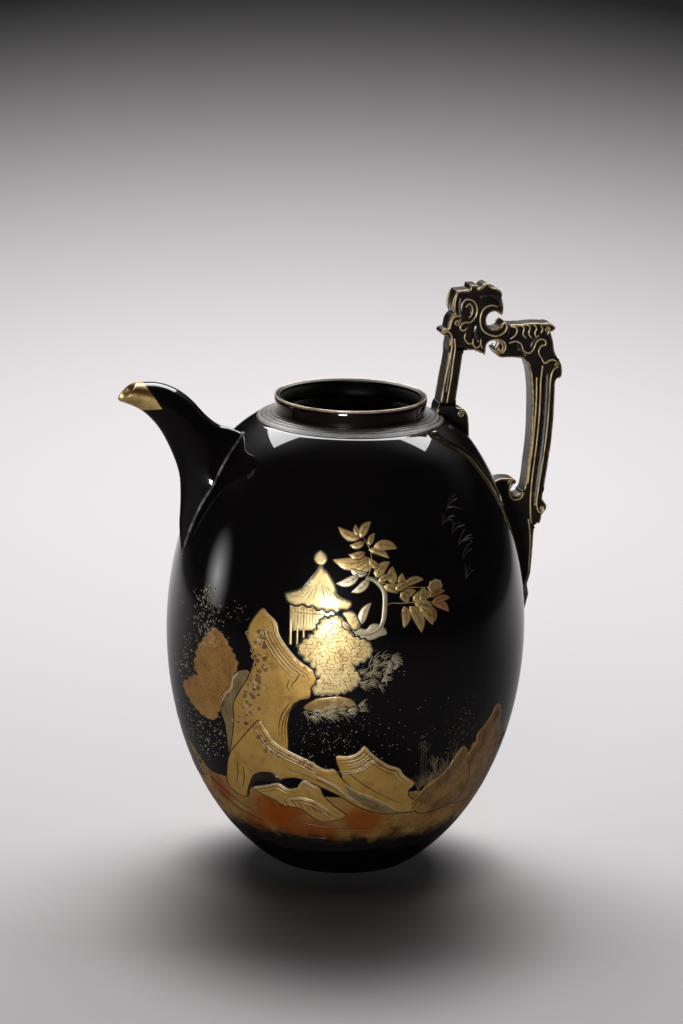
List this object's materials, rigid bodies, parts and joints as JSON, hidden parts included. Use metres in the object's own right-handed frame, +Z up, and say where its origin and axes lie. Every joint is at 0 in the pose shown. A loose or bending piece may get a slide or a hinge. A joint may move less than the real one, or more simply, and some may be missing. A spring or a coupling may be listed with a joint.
{
  "type": "lacquer ewer",
  "caption": "Ovoid black lacquer pouring ewer with an open collared mouth, a curved gilt-tipped spout and a carved openwork scroll handle.",
  "frame": {"origin": "centre of the underside, on the surface that the ewer stands on", "axes": "+Z up, -X towards the spout, +X towards the handle"},
  "size_m": [0.2082, 0.1648, 0.2684],
  "materials": {
    "black_lacquer": "polished black lacquer on turned wood",
    "inner_lacquer": "dark brown-black lacquer",
    "gilt": "worn gold lacquer on wood",
    "carved_lacquer": "black lacquer over carving, edges in rubbed gold",
    "bare_wood": "bare wood, hidden"
  },
  "bodies": {
    "root": {"lower_shell": "black_lacquer", "upper_shell": "black_lacquer", "base_board": "black_lacquer", "shoulder_ring": "black_lacquer", "mouth_collar": "inner_lacquer", "mouth_rim": "gilt", "spout_near_half": "black_lacquer", "spout_far_half": "black_lacquer", "spout_tip": "gilt", "handle_front_foot": "black_lacquer", "handle_front_post": "carved_lacquer", "handle_crossbeam": "carved_lacquer", "handle_crest": "carved_lacquer", "handle_back_post": "carved_lacquer", "handle_heel": "carved_lacquer", "handle_tail": "carved_lacquer", "foot_dowel": "bare_wood", "post_dowel": "bare_wood", "crest_dowel": "bare_wood", "beam_dowel": "bare_wood", "heel_post_dowel": "bare_wood", "heel_dowel": "bare_wood", "tail_dowel": "bare_wood"}
  },
  "joints": []
}
